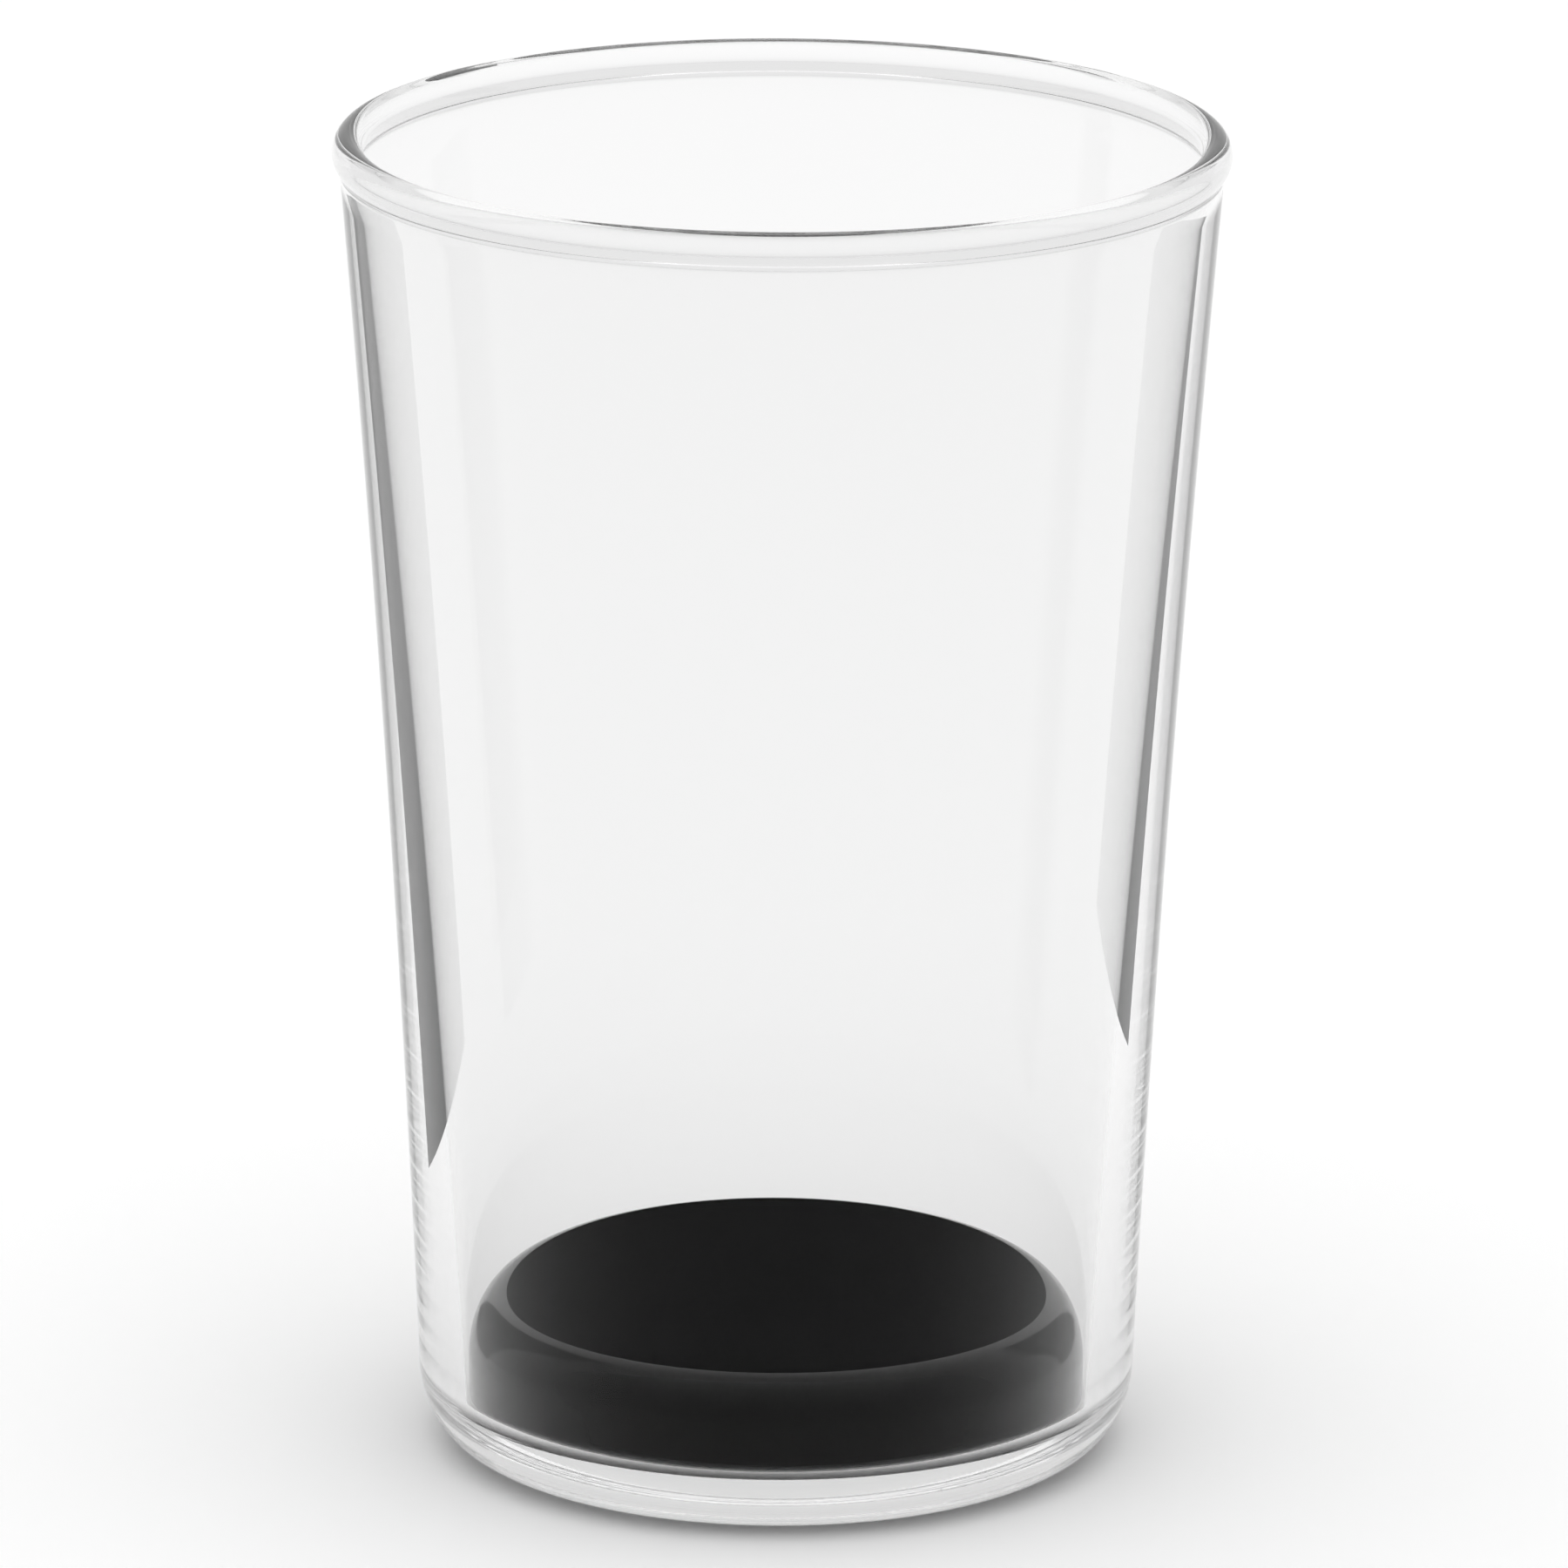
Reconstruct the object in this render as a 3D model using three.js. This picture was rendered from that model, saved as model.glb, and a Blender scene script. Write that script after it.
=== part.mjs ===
// Tasting glass: a clear, tapered tumbler with a rounded rim and a heavy foot,
// and a black disc seated on the floor inside it.
// Millimetres, +Z up, the axis of the glass on Z and its foot standing on Z = 0.

import * as THREE from 'three';

// Overall sizes of the glass
const HEIGHT = 91.2;
const RIM_DIAMETER = 60.3;
const FOOT_DIAMETER = 49.0;

// Rolled rim, proud of the wall on both sides
const BEAD_HEIGHT = 2.5;
const BEAD_PROUD_OUTSIDE = 0.5;
const BEAD_PROUD_INSIDE = 0.5;

// Wall, thin under the rim and thicker towards the foot
const WALL_AT_RIM = 1.1;
const WALL_AT_FLOOR = 2.9;
const WALL_BOW = 0.42;

// Foot: a rounded heel, a flat ring to stand on and a shallow recess inside the ring
const HEEL_WIDTH = 4.0;
const HEEL_HEIGHT = 5.5;
const STANDING_RING_WIDTH = 2.2;
const RECESS_DEPTH = 0.6;
const RECESS_SLOPE = 0.6;
const BASE_THICKNESS = 3.1;
const FLOOR_CORNER_RADIUS = 1.4;

// Black disc on the floor of the glass
const DISC_THICKNESS = 6.7;
const DISC_SHOULDER_RADIUS = 3.2;
const DISC_SIDE_CLEARANCE = 0.25;

// Fineness of the round surfaces
const ROUND_SEGMENTS = 72;
const WALL_STEPS = 8;
const BEAD_STEPS = 14;
const HEEL_STEPS = 6;
const CORNER_STEPS = 4;
const SHOULDER_STEPS = 5;

// Heights and radii that follow from the sizes above
const rimRadius = RIM_DIAMETER / 2;
const footRadius = FOOT_DIAMETER / 2;
const beadWidth = WALL_AT_RIM + BEAD_PROUD_OUTSIDE + BEAD_PROUD_INSIDE;
const beadCentreRadius = rimRadius - beadWidth / 2;
const beadCentreZ = HEIGHT - BEAD_HEIGHT / 2;
const wallTopRadius = rimRadius - BEAD_PROUD_OUTSIDE;
const floorZ = RECESS_DEPTH + BASE_THICKNESS;
const cornerTopZ = floorZ + FLOOR_CORNER_RADIUS;

// Angles on the oval bead at which it leaves the outside and the inside of the wall
const beadStart = -Math.acos(1 - BEAD_PROUD_OUTSIDE / (beadWidth / 2));
const beadEnd = Math.PI + Math.acos(1 - BEAD_PROUD_INSIDE / (beadWidth / 2));
const outsideTopZ = beadCentreZ + (BEAD_HEIGHT / 2) * Math.sin(beadStart);
const insideTopZ = beadCentreZ + (BEAD_HEIGHT / 2) * Math.sin(beadEnd);

// Outside of the wall: a straight taper, drawn in by the bow at half height
function outsideRadius(z) {
  const share = (z - HEEL_HEIGHT) / (outsideTopZ - HEEL_HEIGHT);
  const straight = footRadius + (wallTopRadius - footRadius) * share;
  return straight - 4 * WALL_BOW * share * (1 - share);
}

// Inside of the wall: the outside less a thickness that grows evenly towards the floor
function insideRadius(z) {
  const share = (z - cornerTopZ) / (insideTopZ - cornerTopZ);
  return outsideRadius(z) - (WALL_AT_FLOOR + (WALL_AT_RIM - WALL_AT_FLOOR) * share);
}

// Points on a quarter or part of an oval, as profile points of radius and height
function ovalPoints(centreR, centreZ, halfWidth, halfHeight, from, to, steps) {
  const points = [];
  for (let i = 0; i <= steps; i += 1) {
    const angle = from + ((to - from) * i) / steps;
    const r = centreR + halfWidth * Math.cos(angle);
    const z = centreZ + halfHeight * Math.sin(angle);
    points.push(new THREE.Vector2(r, z));
  }
  return points;
}

// Points between two heights along a wall whose radius is a function of height
function wallPoints(radiusAt, fromZ, toZ, steps) {
  const points = [];
  for (let i = 1; i < steps; i += 1) {
    const z = fromZ + ((toZ - fromZ) * i) / steps;
    points.push(new THREE.Vector2(radiusAt(z), z));
  }
  return points;
}

// Solid of revolution about Z from a profile that starts and ends on the axis
function turned(name, profile, material) {
  const geometry = new THREE.LatheGeometry(profile, ROUND_SEGMENTS);
  geometry.rotateX(Math.PI / 2);
  const mesh = new THREE.Mesh(geometry, material);
  mesh.name = name;
  return mesh;
}

// Glass: from the centre of the recess out to the ring, up the outside, over the rim,
// down the inside and back to the axis along the floor
function glassProfile() {
  const heelStartRadius = footRadius - HEEL_WIDTH;
  const ringInnerRadius = heelStartRadius - STANDING_RING_WIDTH;
  const cornerRadius = insideRadius(cornerTopZ) - FLOOR_CORNER_RADIUS;
  return [
    new THREE.Vector2(0, RECESS_DEPTH),
    new THREE.Vector2(ringInnerRadius - RECESS_SLOPE, RECESS_DEPTH),
    new THREE.Vector2(ringInnerRadius, 0),
    ...ovalPoints(heelStartRadius, HEEL_HEIGHT, HEEL_WIDTH, HEEL_HEIGHT, -Math.PI / 2, 0, HEEL_STEPS),
    ...wallPoints(outsideRadius, HEEL_HEIGHT, outsideTopZ, WALL_STEPS),
    ...ovalPoints(
      beadCentreRadius, beadCentreZ, beadWidth / 2, BEAD_HEIGHT / 2, beadStart, beadEnd, BEAD_STEPS,
    ),
    ...wallPoints(insideRadius, insideTopZ, cornerTopZ, WALL_STEPS),
    ...ovalPoints(
      cornerRadius, cornerTopZ, FLOOR_CORNER_RADIUS, FLOOR_CORNER_RADIUS, 0, -Math.PI / 2, CORNER_STEPS,
    ),
    new THREE.Vector2(0, floorZ),
  ];
}

// Disc: flat on the floor, its lower edge following the corner of the glass,
// its side clear of the wall and its upper edge rounded
function discProfile() {
  const sideRadius = insideRadius(cornerTopZ) - DISC_SIDE_CLEARANCE;
  const topZ = floorZ + DISC_THICKNESS;
  return [
    new THREE.Vector2(0, floorZ),
    ...ovalPoints(
      sideRadius - FLOOR_CORNER_RADIUS, cornerTopZ, FLOOR_CORNER_RADIUS, FLOOR_CORNER_RADIUS,
      -Math.PI / 2, 0, CORNER_STEPS,
    ),
    ...ovalPoints(
      sideRadius - DISC_SHOULDER_RADIUS, topZ - DISC_SHOULDER_RADIUS,
      DISC_SHOULDER_RADIUS, DISC_SHOULDER_RADIUS, 0, Math.PI / 2, SHOULDER_STEPS,
    ),
    new THREE.Vector2(0, topZ),
  ];
}

const clearGlass = new THREE.MeshStandardMaterial({
  color: 0xf1f3f3,
  roughness: 0.02,
  metalness: 0,
  transparent: true,
  opacity: 0.3,
});

const blackResin = new THREE.MeshStandardMaterial({
  color: 0x171717,
  roughness: 0.55,
  metalness: 0,
});

const tastingGlass = new THREE.Group();
tastingGlass.add(turned('glass_body', glassProfile(), clearGlass));
tastingGlass.add(turned('base_disc', discProfile(), blackResin));

export default tastingGlass;
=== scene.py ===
"""Tasting glass: a clear tapered tumbler with a black disc on its inner floor.

Laid out as a Blender add-on and run as a script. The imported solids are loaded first,
each piece is then made at its real size in metres, and a plain pale stage is set round it.
"""

import math

import bpy
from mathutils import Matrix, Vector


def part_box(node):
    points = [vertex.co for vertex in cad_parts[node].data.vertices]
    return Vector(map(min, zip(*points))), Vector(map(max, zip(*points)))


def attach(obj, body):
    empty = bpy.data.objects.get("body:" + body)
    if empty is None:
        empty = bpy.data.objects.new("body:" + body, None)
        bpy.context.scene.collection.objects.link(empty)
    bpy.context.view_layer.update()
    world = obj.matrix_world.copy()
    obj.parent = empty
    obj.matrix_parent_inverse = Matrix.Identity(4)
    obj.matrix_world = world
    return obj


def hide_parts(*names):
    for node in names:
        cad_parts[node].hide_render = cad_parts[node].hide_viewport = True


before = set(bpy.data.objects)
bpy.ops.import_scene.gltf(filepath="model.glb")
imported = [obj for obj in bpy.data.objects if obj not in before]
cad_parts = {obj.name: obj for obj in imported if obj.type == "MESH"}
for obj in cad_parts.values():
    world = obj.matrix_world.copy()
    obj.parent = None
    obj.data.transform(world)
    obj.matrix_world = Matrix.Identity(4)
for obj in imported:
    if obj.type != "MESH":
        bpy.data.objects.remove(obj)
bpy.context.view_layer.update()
GLASS_LOW, GLASS_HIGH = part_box("glass_body")
DISC_LOW, DISC_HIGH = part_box("base_disc")

bl_info = {
    "name": "Tasting Glass",
    "version": (1, 0, 0),
    "blender": (4, 5, 0),
    "location": "View3D > Sidebar > Tasting Glass",
    "description": "Makes a clear tasting glass with a black disc inside, and a pale stage for it",
    "category": "Object",
}


# Sizes and colours that a user would change

class GlassSettings(bpy.types.PropertyGroup):
    """Sizes and finish of the clear glass"""

    height: bpy.props.FloatProperty(
        name="Height",
        description="From the table to the top of the rim",
        default=GLASS_HIGH.z - GLASS_LOW.z,
        unit="LENGTH",
    )
    rim_diameter: bpy.props.FloatProperty(
        name="Rim Diameter",
        description="Across the outside of the rim bead",
        default=GLASS_HIGH.x - GLASS_LOW.x,
        unit="LENGTH",
    )
    foot_diameter: bpy.props.FloatProperty(
        name="Foot Diameter",
        description="Across the wall where the heel begins",
        default=0.0490,
        unit="LENGTH",
    )
    bead_height: bpy.props.FloatProperty(
        name="Bead Height",
        description="Height of the rounded rim bead",
        default=0.0025,
        unit="LENGTH",
    )
    bead_proud_outside: bpy.props.FloatProperty(
        name="Bead Proud Outside",
        description="How far the bead stands out from the outside of the wall",
        default=0.0005,
        unit="LENGTH",
    )
    bead_proud_inside: bpy.props.FloatProperty(
        name="Bead Proud Inside",
        description="How far the bead stands out from the inside of the wall",
        default=0.0005,
        unit="LENGTH",
    )
    wall_at_rim: bpy.props.FloatProperty(
        name="Wall At Rim",
        description="Thickness of the wall just under the bead",
        default=0.0011,
        unit="LENGTH",
    )
    wall_at_floor: bpy.props.FloatProperty(
        name="Wall At Floor",
        description="Thickness of the wall just above the inner floor",
        default=0.0029,
        unit="LENGTH",
    )
    wall_bow: bpy.props.FloatProperty(
        name="Wall Bow",
        description="How far the wall is drawn in at half height",
        default=0.00042,
        unit="LENGTH",
    )
    heel_width: bpy.props.FloatProperty(
        name="Heel Width",
        description="Width of the rounded heel",
        default=0.0040,
        unit="LENGTH",
    )
    heel_height: bpy.props.FloatProperty(
        name="Heel Height",
        description="Height of the rounded heel",
        default=0.0055,
        unit="LENGTH",
    )
    ring_width: bpy.props.FloatProperty(
        name="Standing Ring Width",
        description="Width of the flat ring that the glass stands on",
        default=0.0022,
        unit="LENGTH",
    )
    recess_depth: bpy.props.FloatProperty(
        name="Recess Depth",
        description="Depth of the recess inside the standing ring",
        default=0.0006,
        unit="LENGTH",
    )
    recess_slope: bpy.props.FloatProperty(
        name="Recess Slope",
        description="Width of the slope between the standing ring and the recess",
        default=0.0006,
        unit="LENGTH",
    )
    base_thickness: bpy.props.FloatProperty(
        name="Base Thickness",
        description="Glass between the recess and the inner floor",
        default=0.0031,
        unit="LENGTH",
    )
    corner_radius: bpy.props.FloatProperty(
        name="Floor Corner Radius",
        description="Radius where the inner wall meets the floor",
        default=0.0014,
        unit="LENGTH",
    )
    crease_softness: bpy.props.FloatProperty(
        name="Crease Softness",
        description="Reach of the rounding where the bead and the ring meet the wall",
        default=0.00045,
        unit="LENGTH",
    )
    round_segments: bpy.props.IntProperty(
        name="Round Segments",
        description="Steps round the glass",
        default=240,
        min=24,
    )
    tint: bpy.props.FloatVectorProperty(
        name="Glass Tint",
        description="Colour that the clear glass lets through",
        subtype="COLOR",
        size=3,
        default=(0.93, 0.93, 0.93),
    )
    gloss: bpy.props.FloatVectorProperty(
        name="Glass Gloss",
        description="Colour of what the glass mirrors",
        subtype="COLOR",
        size=3,
        default=(0.1, 0.1, 0.1),
    )
    depth_shade: bpy.props.FloatProperty(
        name="Depth Shade",
        description="Density of the grey that grows with the depth of the glass",
        default=3.0,
        min=0.0,
    )


class DiscSettings(bpy.types.PropertyGroup):
    """Sizes and finish of the black disc"""

    thickness: bpy.props.FloatProperty(
        name="Thickness",
        description="From the inner floor to the top of the disc",
        default=DISC_HIGH.z - DISC_LOW.z,
        unit="LENGTH",
    )
    diameter: bpy.props.FloatProperty(
        name="Diameter",
        description="Across the side of the disc",
        default=DISC_HIGH.x - DISC_LOW.x,
        unit="LENGTH",
    )
    shoulder_radius: bpy.props.FloatProperty(
        name="Shoulder Radius",
        description="Radius of the rounded upper edge",
        default=0.0032,
        unit="LENGTH",
    )
    edge_radius: bpy.props.FloatProperty(
        name="Lower Edge Radius",
        description="Radius of the lower edge, which follows the corner of the glass",
        default=0.0014,
        unit="LENGTH",
    )
    floor_gap: bpy.props.FloatProperty(
        name="Floor Gap",
        description="Film of air between the disc and the glass floor",
        default=0.00003,
        unit="LENGTH",
    )
    colour: bpy.props.FloatVectorProperty(
        name="Disc Colour",
        description="Flat black of the disc",
        subtype="COLOR",
        size=3,
        default=(0.0045, 0.0045, 0.0045),
    )
    shoulder_colour: bpy.props.FloatVectorProperty(
        name="Shoulder Colour",
        description="Black of the polished upper edge",
        subtype="COLOR",
        size=3,
        default=(0.0045, 0.0045, 0.0045),
    )
    shoulder_gloss: bpy.props.FloatProperty(
        name="Shoulder Gloss",
        description="How strongly the rounded upper edge mirrors the light that it meets head on",
        default=0.04,
        min=0.0,
        max=1.0,
        subtype="FACTOR",
    )


class StageSettings(bpy.types.PropertyGroup):
    """Floor, light, cards and camera"""

    floor_size: bpy.props.FloatProperty(
        name="Floor Size",
        description="Width of the square floor",
        default=8.0,
        unit="LENGTH",
    )
    floor_colour: bpy.props.FloatVectorProperty(
        name="Floor Colour",
        description="Pale colour of the floor",
        subtype="COLOR",
        size=3,
        default=(0.80, 0.80, 0.80),
    )
    floor_seen: bpy.props.FloatVectorProperty(
        name="Floor Seen",
        description="Colour of the floor where the camera sees it, directly or in the glass",
        subtype="COLOR",
        size=3,
        default=(1.0, 1.0, 1.0),
    )
    camera_distance: bpy.props.FloatProperty(
        name="Camera Distance",
        description="From the axis of the glass, along the floor",
        default=0.850,
        unit="LENGTH",
    )
    camera_side: bpy.props.FloatProperty(
        name="Camera Side Step",
        description="How far the camera stands to the right of the glass",
        default=0.00034,
        unit="LENGTH",
    )
    camera_height: bpy.props.FloatProperty(
        name="Camera Height",
        description="Above the floor",
        default=0.28505,
        unit="LENGTH",
    )
    camera_tilt: bpy.props.FloatProperty(
        name="Camera Tilt",
        description="How far the camera looks down",
        default=math.radians(15.713),
        unit="ROTATION",
    )
    camera_roll: bpy.props.FloatProperty(
        name="Camera Roll",
        description="Small lean of the photograph",
        default=math.radians(0.30),
        unit="ROTATION",
    )
    camera_lens: bpy.props.FloatProperty(
        name="Camera Lens",
        description="Focal length in millimetres on a 36 mm sensor",
        default=298.84,
    )
    lamp_power: bpy.props.FloatProperty(
        name="Softbox Power",
        description="Power of the softbox above the glass, in watts",
        default=10.0,
    )
    left_card_height: bpy.props.FloatProperty(
        name="Left Card Height",
        description="Top of the grey card on the left of the glass, above the floor",
        default=0.080,
        unit="LENGTH",
    )
    right_card_height: bpy.props.FloatProperty(
        name="Right Card Height",
        description="Top of the grey card on the right of the glass, above the floor",
        default=0.070,
        unit="LENGTH",
    )
    left_card_colour: bpy.props.FloatVectorProperty(
        name="Left Card Colour",
        description="Dark grey of the card on the left, which shows as a line in the wall",
        subtype="COLOR",
        size=3,
        default=(0.01, 0.01, 0.01),
    )
    right_card_colour: bpy.props.FloatVectorProperty(
        name="Right Card Colour",
        description="Dark grey of the card on the right",
        subtype="COLOR",
        size=3,
        default=(0.06, 0.06, 0.06),
    )


# Profiles, as points of radius and height from the axis outwards and back to it

FLOOR_STEPS = 10
RING_STEPS = 4
HEEL_STEPS = 24
WALL_STEPS = 44
BEAD_STEPS = 48
CORNER_STEPS = 16
CREASE_STEPS = 6
DISC_FLAT_STEPS = 8
DISC_EDGE_STEPS = 12
DISC_SHOULDER_STEPS = 20
DOWN = -math.pi / 2
UP = math.pi / 2


def oval_points(centre_r, centre_z, half_width, half_height, start, end, steps):
    """Points on part of an oval."""
    points = []
    for i in range(steps + 1):
        angle = start + (end - start) * i / steps
        points.append((centre_r + half_width * math.cos(angle), centre_z + half_height * math.sin(angle)))
    return points


def wall_points(radius_at, start_z, end_z, steps):
    """Points between two heights along a wall, without its two ends."""
    heights = [start_z + (end_z - start_z) * i / steps for i in range(1, steps)]
    return [(radius_at(z), z) for z in heights]


def straight_points(start, end, steps):
    """Points on a straight line, without its start."""
    return [
        (start[0] + (end[0] - start[0]) * i / steps, start[1] + (end[1] - start[1]) * i / steps)
        for i in range(1, steps + 1)
    ]


def point_along(points, index, step, reach):
    """The point at a distance along the profile from one of its corners, and the last point passed."""
    left = reach
    here = index
    while True:
        a, b = points[here], points[here + step]
        length = math.dist(a, b)
        if length >= left:
            share = left / length
            return (a[0] + (b[0] - a[0]) * share, a[1] + (b[1] - a[1]) * share), here
        left -= length
        here += step


def soften(points, corners, reach):
    """Rounds each listed corner of a profile with a small curve."""
    for index in sorted(corners, reverse=True):
        before, first = point_along(points, index, -1, reach)
        after, last = point_along(points, index, 1, reach)
        corner = points[index]
        curve = []
        for i in range(CREASE_STEPS + 1):
            t = i / CREASE_STEPS
            a, b, c = (1 - t) ** 2, 2 * t * (1 - t), t ** 2
            curve.append((
                a * before[0] + b * corner[0] + c * after[0],
                a * before[1] + b * corner[1] + c * after[1],
            ))
        points[first:last + 1] = curve
    return points


def glass_profile(sizes):
    """Profile of the glass: recess, ring, heel, outside, bead, inside and floor."""
    rim_radius = sizes.rim_diameter / 2
    foot_radius = sizes.foot_diameter / 2
    bead_width = sizes.wall_at_rim + sizes.bead_proud_outside + sizes.bead_proud_inside
    bead_r = rim_radius - bead_width / 2
    bead_z = sizes.height - sizes.bead_height / 2
    wall_top_radius = rim_radius - sizes.bead_proud_outside
    outside_lean = math.acos(1 - sizes.bead_proud_outside / (bead_width / 2))
    inside_lean = math.acos(1 - sizes.bead_proud_inside / (bead_width / 2))
    outside_top = bead_z - sizes.bead_height / 2 * math.sin(outside_lean)
    inside_top = bead_z - sizes.bead_height / 2 * math.sin(inside_lean)
    floor_z = sizes.recess_depth + sizes.base_thickness
    corner_z = floor_z + sizes.corner_radius

    def outside_radius(z):
        share = (z - sizes.heel_height) / (outside_top - sizes.heel_height)
        straight = foot_radius + (wall_top_radius - foot_radius) * share
        return straight - 4 * sizes.wall_bow * share * (1 - share)

    def inside_radius(z):
        share = (z - corner_z) / (inside_top - corner_z)
        return outside_radius(z) - (sizes.wall_at_floor + (sizes.wall_at_rim - sizes.wall_at_floor) * share)

    heel_r = foot_radius - sizes.heel_width
    ring_r = heel_r - sizes.ring_width
    recess_r = ring_r - sizes.recess_slope
    corner_r = inside_radius(corner_z) - sizes.corner_radius

    points = [(0.0, sizes.recess_depth)]
    points += straight_points(points[-1], (recess_r, sizes.recess_depth), FLOOR_STEPS)
    corners = [len(points) - 1]
    points += straight_points(points[-1], (ring_r, 0.0), RING_STEPS)
    corners.append(len(points) - 1)
    points += straight_points(points[-1], (heel_r, 0.0), RING_STEPS)
    heel = oval_points(heel_r, sizes.heel_height, sizes.heel_width, sizes.heel_height, DOWN, 0, HEEL_STEPS)
    points += heel[1:]
    points += wall_points(outside_radius, sizes.heel_height, outside_top, WALL_STEPS)
    corners.append(len(points))
    points += oval_points(
        bead_r, bead_z, bead_width / 2, sizes.bead_height / 2,
        -outside_lean, math.pi + inside_lean, BEAD_STEPS,
    )
    corners.append(len(points) - 1)
    points += wall_points(inside_radius, inside_top, corner_z, WALL_STEPS)
    points += oval_points(
        corner_r, corner_z, sizes.corner_radius, sizes.corner_radius, 0, DOWN, CORNER_STEPS
    )
    points += straight_points(points[-1], (0.0, floor_z), FLOOR_STEPS)
    return soften(points, corners, sizes.crease_softness)


def disc_profile(sizes, floor_z):
    """Profile of the black disc: flat base, lower edge, side, rounded shoulder and flat top."""
    radius = sizes.diameter / 2
    low = floor_z + sizes.floor_gap
    high = floor_z + sizes.thickness
    edge = sizes.edge_radius
    shoulder = sizes.shoulder_radius
    points = [(0.0, low)]
    points += straight_points(points[-1], (radius - edge, low), DISC_FLAT_STEPS)
    points += oval_points(radius - edge, low + edge, edge, edge, DOWN, 0, DISC_EDGE_STEPS)[1:]
    points += oval_points(
        radius - shoulder, high - shoulder, shoulder, shoulder, 0, UP, DISC_SHOULDER_STEPS
    )
    points += straight_points(points[-1], (0.0, high), DISC_FLAT_STEPS)
    return points


# Turning tree: sweeps a profile round the axis, closes its poles and gives it its materials

TURNING_RADIUS = 0.01
POLE_MERGE = 1e-6
SHOULDER_FLATTEST = 0.985
SHOULDER_STEEPEST = -0.60


def turning_tree():
    """Geometry Nodes tree that turns a profile about the axis."""
    tree = bpy.data.node_groups.new("turned_on_axis", "GeometryNodeTree")
    face = tree.interface
    face.new_socket("Profile", in_out="INPUT", socket_type="NodeSocketGeometry")
    face.new_socket("Round Segments", in_out="INPUT", socket_type="NodeSocketInt")
    face.new_socket("Turning Radius", in_out="INPUT", socket_type="NodeSocketFloat")
    face.new_socket("Pole Merge", in_out="INPUT", socket_type="NodeSocketFloat")
    face.new_socket("Finish", in_out="INPUT", socket_type="NodeSocketMaterial")
    face.new_socket("Shoulder Finish", in_out="INPUT", socket_type="NodeSocketMaterial")
    face.new_socket("Piece", in_out="OUTPUT", socket_type="NodeSocketGeometry")

    def node(kind, **values):
        made = tree.nodes.new(kind)
        for key, value in values.items():
            setattr(made, key, value)
        return made

    def link(source, target):
        tree.links.new(source, target)

    given = node("NodeGroupInput")
    result = node("NodeGroupOutput")

    profile = node("GeometryNodeMeshToCurve")
    link(given.outputs["Profile"], profile.inputs["Mesh"])

    path = node("GeometryNodeCurvePrimitiveCircle", mode="RADIUS")
    link(given.outputs["Round Segments"], path.inputs["Resolution"])
    link(given.outputs["Turning Radius"], path.inputs["Radius"])
    upright = node("GeometryNodeSetCurveNormal", mode="Z_UP")
    link(path.outputs["Curve"], upright.inputs["Curve"])

    sweep = node("GeometryNodeCurveToMesh")
    link(upright.outputs["Curve"], sweep.inputs["Curve"])
    link(profile.outputs["Curve"], sweep.inputs["Profile Curve"])

    poles = node("GeometryNodeMergeByDistance")
    link(sweep.outputs["Mesh"], poles.inputs["Geometry"])
    link(given.outputs["Pole Merge"], poles.inputs["Distance"])

    outward = node("GeometryNodeFlipFaces")
    link(poles.outputs["Geometry"], outward.inputs["Mesh"])

    smooth = node("GeometryNodeSetShadeSmooth")
    link(outward.outputs["Mesh"], smooth.inputs["Geometry"])

    whole = node("GeometryNodeRealizeInstances")
    link(smooth.outputs["Geometry"], whole.inputs["Geometry"])

    normal = node("GeometryNodeInputNormal")
    finish = node("GeometryNodeSetMaterial")
    link(whole.outputs["Geometry"], finish.inputs["Geometry"])
    link(given.outputs["Finish"], finish.inputs["Material"])

    parts = node("ShaderNodeSeparateXYZ")
    link(normal.outputs["Normal"], parts.inputs["Vector"])
    sloping = node("FunctionNodeCompare", data_type="FLOAT", operation="LESS_THAN")
    link(parts.outputs["Z"], sloping.inputs["A"])
    sloping.inputs["B"].default_value = SHOULDER_FLATTEST
    rising = node("FunctionNodeCompare", data_type="FLOAT", operation="GREATER_THAN")
    link(parts.outputs["Z"], rising.inputs["A"])
    rising.inputs["B"].default_value = SHOULDER_STEEPEST
    shoulder = node("FunctionNodeBooleanMath", operation="AND")
    link(sloping.outputs["Result"], shoulder.inputs[0])
    link(rising.outputs["Result"], shoulder.inputs[1])
    edge = node("GeometryNodeSetMaterial")
    link(finish.outputs["Geometry"], edge.inputs["Geometry"])
    link(shoulder.outputs["Boolean"], edge.inputs["Selection"])
    link(given.outputs["Shoulder Finish"], edge.inputs["Material"])
    link(edge.outputs["Geometry"], result.inputs["Piece"])
    return tree


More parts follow.
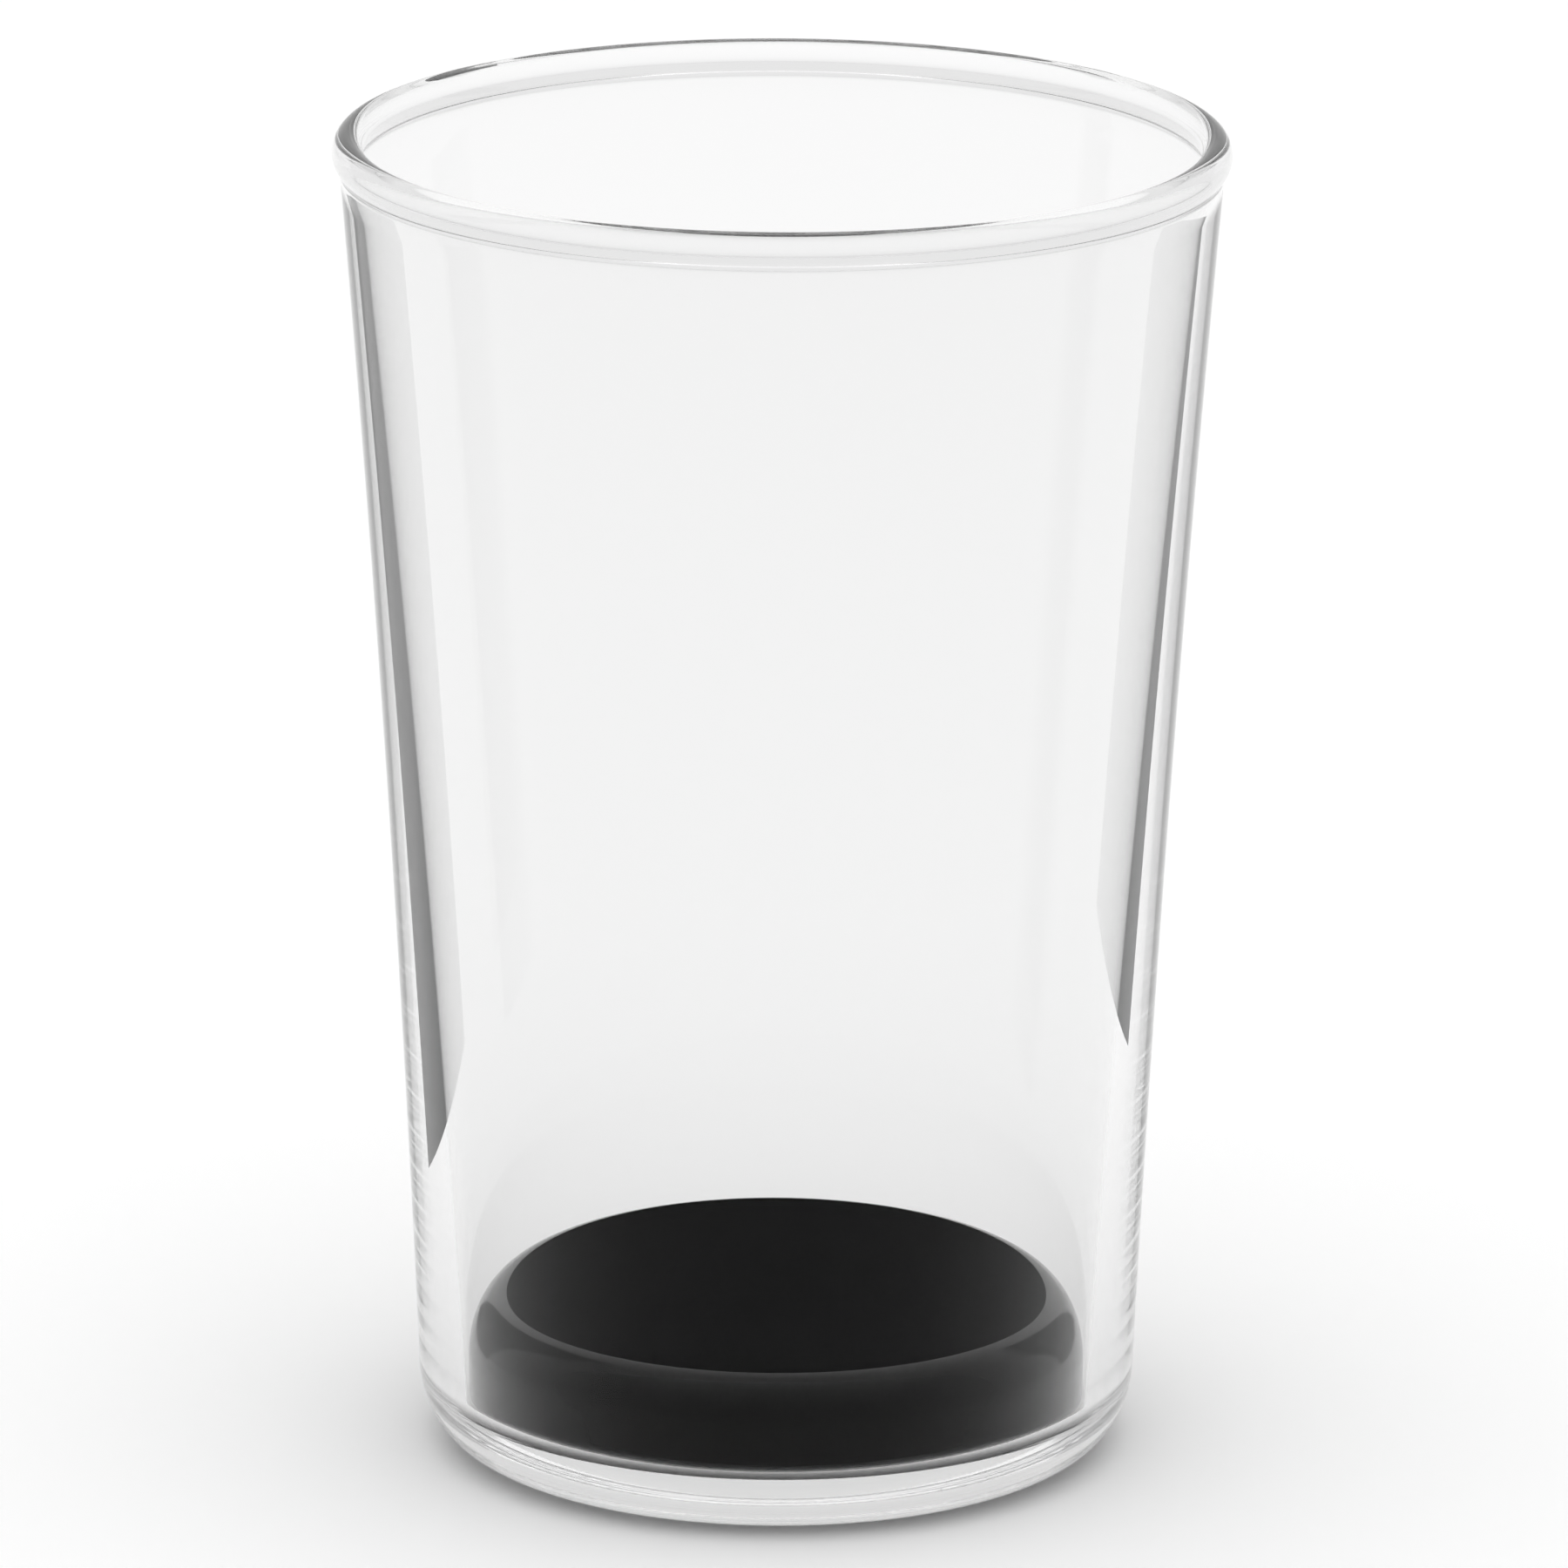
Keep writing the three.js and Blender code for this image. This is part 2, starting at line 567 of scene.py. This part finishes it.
def turned_piece(name, profile, segments, finish, shoulder_finish):
    """A piece turned from its profile, as a plain mesh at the origin."""
    line = bpy.data.meshes.new(name + "_profile")
    points = [(r - TURNING_RADIUS, -z, 0.0) for r, z in profile]
    line.from_pydata(points, [(i, i + 1) for i in range(len(points) - 1)], [])
    blank = bpy.data.objects.new(name + "_profile", line)
    bpy.context.scene.collection.objects.link(blank)

    tree = bpy.data.node_groups.get("turned_on_axis") or turning_tree()
    turning = blank.modifiers.new("Turning", "NODES")
    turning.node_group = tree
    wanted = {
        "Round Segments": segments,
        "Turning Radius": TURNING_RADIUS,
        "Pole Merge": POLE_MERGE,
        "Finish": finish,
        "Shoulder Finish": shoulder_finish,
    }
    for item in tree.interface.items_tree:
        if item.in_out == "INPUT" and item.name in wanted:
            turning[item.identifier] = wanted[item.name]

    graph = bpy.context.evaluated_depsgraph_get()
    mesh = bpy.data.meshes.new_from_object(blank.evaluated_get(graph))
    mesh.name = name
    blank.modifiers.remove(turning)
    bpy.data.objects.remove(blank)
    bpy.data.meshes.remove(line)
    piece = bpy.data.objects.new(name, mesh)
    bpy.context.scene.collection.objects.link(piece)
    return piece


# Finishes

GLASS_IOR = 1.52
HAZE_SCALE = 60.0
HAZE_DETAIL = 3.0
HAZE_START, HAZE_END = 0.45, 0.75
HAZE_ROUGHNESS = 0.02
WAVE_SCALE = 45.0
WAVE_DETAIL = 1.0
WAVE_STRETCH = (1.0, 1.0, 0.25)
WAVE_STRENGTH = 0.12
WAVE_HEIGHT = 0.0002
CLOUD_SCALE = 140.0
CLOUD_DETAIL = 3.0
CLOUD_START, CLOUD_END = 0.3, 0.7
CLOUD_LEAST, CLOUD_MOST = 0.85, 1.15
GRAIN_SCALE = 900.0
GRAIN_DETAIL = 2.0
GRAIN_STRENGTH = 0.10
GRAIN_HEIGHT = 0.00003
FLAT_ROUGHNESS = 0.6
POLISHED_ROUGHNESS = 0.12
TURNED_ONCE = 1.0
TURN_MARGIN = 0.5


def new_material(name):
    """An empty node material with its Principled shader."""
    made = bpy.data.materials.new(name)
    made.use_nodes = True
    return made, made.node_tree, made.node_tree.nodes["Principled BSDF"]


def object_noise(tree, scale, detail, stretch=(1.0, 1.0, 1.0)):
    """A noise on the piece's own coordinates."""
    coords = tree.nodes.new("ShaderNodeTexCoord")
    mapping = tree.nodes.new("ShaderNodeMapping")
    mapping.inputs["Scale"].default_value = stretch
    noise = tree.nodes.new("ShaderNodeTexNoise")
    noise.inputs["Scale"].default_value = scale
    noise.inputs["Detail"].default_value = detail
    tree.links.new(coords.outputs["Object"], mapping.inputs["Vector"])
    tree.links.new(mapping.outputs["Vector"], noise.inputs["Vector"])
    return noise


def value_range(tree, source, low, high, to_low, to_high):
    """A value carried from one range to another, held at both ends."""
    made = tree.nodes.new("ShaderNodeMapRange")
    made.inputs["From Min"].default_value = low
    made.inputs["From Max"].default_value = high
    made.inputs["To Min"].default_value = to_low
    made.inputs["To Max"].default_value = to_high
    tree.links.new(source, made.inputs["Value"])
    return made.outputs["Result"]


def rough_bump(tree, shader, height, strength, distance):
    """Leads a height into the shader as fine relief."""
    bump = tree.nodes.new("ShaderNodeBump")
    bump.inputs["Strength"].default_value = strength
    bump.inputs["Distance"].default_value = distance
    tree.links.new(height, bump.inputs["Height"])
    tree.links.new(bump.outputs["Normal"], shader.inputs["Normal"])


def added(tree, first, second):
    """The sum of two values, held at 1."""
    made = tree.nodes.new("ShaderNodeMath")
    made.operation = "ADD"
    made.use_clamp = True
    tree.links.new(first, made.inputs[0])
    tree.links.new(second, made.inputs[1])
    return made.outputs["Value"]


def clear_glass(name, settings):
    """Clear pressed glass: faint draw waves, a trace of haze and a grey that grows with depth."""
    made, tree, shader = new_material(name)
    shader.inputs["Base Color"].default_value = (*settings.tint, 1.0)
    shader.inputs["Transmission Weight"].default_value = 1.0
    shader.inputs["IOR"].default_value = GLASS_IOR
    shader.inputs["Specular Tint"].default_value = (*settings.gloss, 1.0)

    depth = tree.nodes.new("ShaderNodeVolumeAbsorption")
    depth.inputs["Color"].default_value = (0.0, 0.0, 0.0, 1.0)
    depth.inputs["Density"].default_value = settings.depth_shade
    tree.links.new(depth.outputs["Volume"], tree.nodes["Material Output"].inputs["Volume"])

    haze = object_noise(tree, HAZE_SCALE, HAZE_DETAIL)
    hazy = value_range(tree, haze.outputs["Fac"], HAZE_START, HAZE_END, 0.0, HAZE_ROUGHNESS)
    tree.links.new(hazy, shader.inputs["Roughness"])

    waves = object_noise(tree, WAVE_SCALE, WAVE_DETAIL, WAVE_STRETCH)
    rough_bump(tree, shader, waves.outputs["Fac"], WAVE_STRENGTH, WAVE_HEIGHT)
    return made


def black_resin(name, colour, specular, head_on, roughness):
    """Black resin with a fine grain and faint clouds in its colour."""
    made, tree, shader = new_material(name)
    shader.inputs["Specular IOR Level"].default_value = specular
    shader.inputs["Specular Tint"].default_value = (head_on, head_on, head_on, 1.0)

    cloud = object_noise(tree, CLOUD_SCALE, CLOUD_DETAIL)
    ramp = tree.nodes.new("ShaderNodeValToRGB")
    low, high = ramp.color_ramp.elements
    low.position = CLOUD_START
    low.color = (*(CLOUD_LEAST * c for c in colour), 1.0)
    high.position = CLOUD_END
    high.color = (*(CLOUD_MOST * c for c in colour), 1.0)
    tree.links.new(cloud.outputs["Fac"], ramp.inputs["Fac"])
    tree.links.new(ramp.outputs["Color"], shader.inputs["Base Color"])
    least, most = CLOUD_LEAST * roughness, CLOUD_MOST * roughness
    rough = value_range(tree, cloud.outputs["Fac"], CLOUD_START, CLOUD_END, least, most)
    tree.links.new(rough, shader.inputs["Roughness"])

    grain = object_noise(tree, GRAIN_SCALE, GRAIN_DETAIL)
    rough_bump(tree, shader, grain.outputs["Fac"], GRAIN_STRENGTH, GRAIN_HEIGHT)
    return made


def floor_finish(name, colour, seen_colour):
    """Plain pale floor, white where the camera sees it and where the glass shows it."""
    made, tree, shader = new_material(name)
    shader.inputs["Roughness"].default_value = 1.0
    shader.inputs["Specular IOR Level"].default_value = 0.0
    path = tree.nodes.new("ShaderNodeLightPath")
    mirrored = added(tree, path.outputs["Is Camera Ray"], path.outputs["Is Glossy Ray"])
    seen = added(tree, mirrored, path.outputs["Is Transmission Ray"])
    blend = tree.nodes.new("ShaderNodeMix")
    blend.data_type = "RGBA"
    a, b = [socket for socket in blend.inputs if socket.type == "RGBA"]
    a.default_value = (*colour, 1.0)
    b.default_value = (*seen_colour, 1.0)
    tree.links.new(seen, blend.inputs["Factor"])
    mixed = [socket for socket in blend.outputs if socket.type == "RGBA"][0]
    tree.links.new(mixed, shader.inputs["Base Color"])
    return made


def card_finish(name, colour):
    """Flat grey card, met only by light that has turned once inside the glass."""
    made, tree, shader = new_material(name)
    shader.inputs["Base Color"].default_value = (*colour, 1.0)
    shader.inputs["Roughness"].default_value = 1.0
    shader.inputs["Specular IOR Level"].default_value = 0.0
    path = tree.nodes.new("ShaderNodeLightPath")
    turned = tree.nodes.new("ShaderNodeMath")
    turned.operation = "COMPARE"
    turned.inputs[1].default_value = TURNED_ONCE
    turned.inputs[2].default_value = TURN_MARGIN
    tree.links.new(path.outputs["Glossy Depth"], turned.inputs[0])
    passed = tree.nodes.new("ShaderNodeBsdfTransparent")
    either = tree.nodes.new("ShaderNodeMixShader")
    tree.links.new(turned.outputs["Value"], either.inputs[0])
    tree.links.new(passed.outputs["BSDF"], either.inputs[1])
    tree.links.new(shader.outputs["BSDF"], either.inputs[2])
    tree.links.new(either.outputs["Shader"], tree.nodes["Material Output"].inputs["Surface"])
    return made


# Stage: floor, soft room, softbox, cards and camera

FLOOR_DROP = 0.0002
SKY_LIFT = 0.6
SKY_REACH = 0.6
SKY_FRONT = 0.74
SKY_BACK = 0.86
SOFTBOX_SIZE = 2.0
SOFTBOX_PLACE = (0.0, -0.5, 1.6)
LEFT_CARD = ((-0.0410, 0.0310), (-0.0755, 0.0205))
RIGHT_CARD = ((0.0571, 0.0484), (0.0986, 0.0292))
CARD_FOOT = 0.0045
SENSOR_WIDTH = 36.0
NEAR_CLIP = 0.01
MAX_BOUNCES = 96
TRANSMISSION_BOUNCES = 48
GLOSSY_BOUNCES = 40


def make_floor(sizes):
    """A wide pale floor that the glass stands on."""
    half = sizes.floor_size / 2
    mesh = bpy.data.meshes.new("floor")
    corners = [(-half, -half, 0.0), (half, -half, 0.0), (half, half, 0.0), (-half, half, 0.0)]
    mesh.from_pydata(corners, [], [(0, 1, 2, 3)])
    floor = bpy.data.objects.new("floor", mesh)
    floor.location.z = GLASS_LOW.z - FLOOR_DROP
    bpy.context.scene.collection.objects.link(floor)
    finish = floor_finish("pale_floor", tuple(sizes.floor_colour), tuple(sizes.floor_seen))
    mesh.materials.append(finish)


def make_world(scene):
    """Soft room light, a little dimmer towards the camera."""
    world = bpy.data.worlds.new("soft_room")
    world.use_nodes = True
    scene.world = world
    tree = world.node_tree
    sky = tree.nodes["Background"]
    coords = tree.nodes.new("ShaderNodeTexCoord")
    split = tree.nodes.new("ShaderNodeSeparateXYZ")
    tree.links.new(coords.outputs["Generated"], split.inputs["Vector"])
    lifted = tree.nodes.new("ShaderNodeMath")
    lifted.operation = "MULTIPLY_ADD"
    lifted.inputs[1].default_value = SKY_LIFT
    tree.links.new(split.outputs["Z"], lifted.inputs[0])
    tree.links.new(split.outputs["Y"], lifted.inputs[2])
    level = value_range(tree, lifted.outputs["Value"], -SKY_REACH, SKY_REACH, SKY_FRONT, SKY_BACK)
    tree.links.new(level, sky.inputs["Color"])
    sky.inputs["Strength"].default_value = 1.0


def make_softbox(sizes):
    """One large softbox above the glass, a little towards the camera."""
    lamp = bpy.data.lights.new("softbox", "AREA")
    lamp.shape = "RECTANGLE"
    lamp.size = SOFTBOX_SIZE
    lamp.size_y = SOFTBOX_SIZE
    lamp.energy = sizes.lamp_power
    box = bpy.data.objects.new("softbox", lamp)
    box.location = SOFTBOX_PLACE
    bpy.context.scene.collection.objects.link(box)


def make_card(name, line, height, colour):
    """A grey card held beside the glass, which shows as a dark line in its wall."""
    (x0, y0), (x1, y1) = line
    mesh = bpy.data.meshes.new(name)
    corners = [(x0, y0, CARD_FOOT), (x1, y1, CARD_FOOT), (x1, y1, height), (x0, y0, height)]
    mesh.from_pydata(corners, [], [(0, 1, 2, 3)])
    card = bpy.data.objects.new(name, mesh)
    bpy.context.scene.collection.objects.link(card)
    card.visible_camera = False
    card.visible_diffuse = False
    card.visible_glossy = False
    card.visible_shadow = False
    mesh.materials.append(card_finish(name, colour))


def make_camera(scene, sizes):
    """Camera at the photograph's viewing angle."""
    camera = bpy.data.cameras.new("camera")
    camera.sensor_width = SENSOR_WIDTH
    camera.lens = sizes.camera_lens
    camera.clip_start = NEAR_CLIP
    eye = bpy.data.objects.new("camera", camera)
    eye.location = (sizes.camera_side, -sizes.camera_distance, sizes.camera_height)
    eye.rotation_mode = "XYZ"
    eye.rotation_euler = (math.pi / 2 - sizes.camera_tilt, 0.0, 0.0)
    eye.rotation_euler.rotate_axis("Z", sizes.camera_roll)
    scene.collection.objects.link(eye)
    scene.camera = eye


# Operators, one for each piece and one for the stage

class TASTING_OT_glass_body(bpy.types.Operator):
    """Make the clear glass"""

    bl_idname = "tasting.glass_body"
    bl_label = "Glass Body"

    def execute(self, context):
        sizes = context.scene.tasting_glass
        finish = clear_glass("clear_glass", sizes)
        piece = turned_piece("glass_tumbler", glass_profile(sizes), sizes.round_segments, finish, finish)
        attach(piece, "root")
        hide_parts("glass_body")
        return {"FINISHED"}


class TASTING_OT_base_disc(bpy.types.Operator):
    """Make the black disc on the inner floor"""

    bl_idname = "tasting.base_disc"
    bl_label = "Base Disc"

    def execute(self, context):
        sizes = context.scene.tasting_disc
        flat = black_resin(
            "black_resin", tuple(sizes.colour),
            specular=0.0, head_on=1.0, roughness=FLAT_ROUGHNESS,
        )
        polished = black_resin(
            "black_resin_shoulder", tuple(sizes.shoulder_colour),
            specular=1.0, head_on=sizes.shoulder_gloss, roughness=POLISHED_ROUGHNESS,
        )
        profile = disc_profile(sizes, DISC_LOW.z)
        segments = context.scene.tasting_glass.round_segments
        piece = turned_piece("black_disc", profile, segments, flat, polished)
        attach(piece, "root")
        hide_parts("base_disc")
        return {"FINISHED"}


class TASTING_OT_stage(bpy.types.Operator):
    """Make the floor, the light, the cards and the camera"""

    bl_idname = "tasting.stage"
    bl_label = "Stage"

    def execute(self, context):
        scene = context.scene
        sizes = scene.tasting_stage
        make_floor(sizes)
        make_world(scene)
        make_softbox(sizes)
        make_card("left_card", LEFT_CARD, sizes.left_card_height, tuple(sizes.left_card_colour))
        make_card("right_card", RIGHT_CARD, sizes.right_card_height, tuple(sizes.right_card_colour))
        make_camera(scene, sizes)
        scene.view_settings.view_transform = "Standard"
        scene.cycles.max_bounces = MAX_BOUNCES
        scene.cycles.transmission_bounces = TRANSMISSION_BOUNCES
        scene.cycles.glossy_bounces = GLOSSY_BOUNCES
        return {"FINISHED"}


# Panel and registration

class TASTING_PT_panel(bpy.types.Panel):
    """Lists the pieces of the tasting glass"""

    bl_idname = "TASTING_PT_panel"
    bl_label = "Tasting Glass"
    bl_space_type = "VIEW_3D"
    bl_region_type = "UI"
    bl_category = "Tasting Glass"

    def draw(self, context):
        layout = self.layout
        for group in GROUPS:
            settings = getattr(context.scene, group)
            box = layout.box()
            for name in settings.__annotations__:
                box.prop(settings, name)
        for operator in OPERATORS:
            layout.operator(operator.bl_idname)


GROUPS = {
    "tasting_glass": GlassSettings,
    "tasting_disc": DiscSettings,
    "tasting_stage": StageSettings,
}
OPERATORS = (TASTING_OT_glass_body, TASTING_OT_base_disc, TASTING_OT_stage)


def register():
    """Registers the settings, the operators and the panel."""
    for name, group in GROUPS.items():
        bpy.utils.register_class(group)
        setattr(bpy.types.Scene, name, bpy.props.PointerProperty(type=group))
    for operator in OPERATORS:
        bpy.utils.register_class(operator)
    bpy.utils.register_class(TASTING_PT_panel)


def unregister():
    """Takes them away again."""
    bpy.utils.unregister_class(TASTING_PT_panel)
    for operator in reversed(OPERATORS):
        bpy.utils.unregister_class(operator)
    for name, group in reversed(GROUPS.items()):
        delattr(bpy.types.Scene, name)
        bpy.utils.unregister_class(group)


def main():
    register()
    bpy.ops.tasting.glass_body()
    bpy.ops.tasting.base_disc()
    bpy.ops.tasting.stage()


if __name__ == "__main__":
    main()
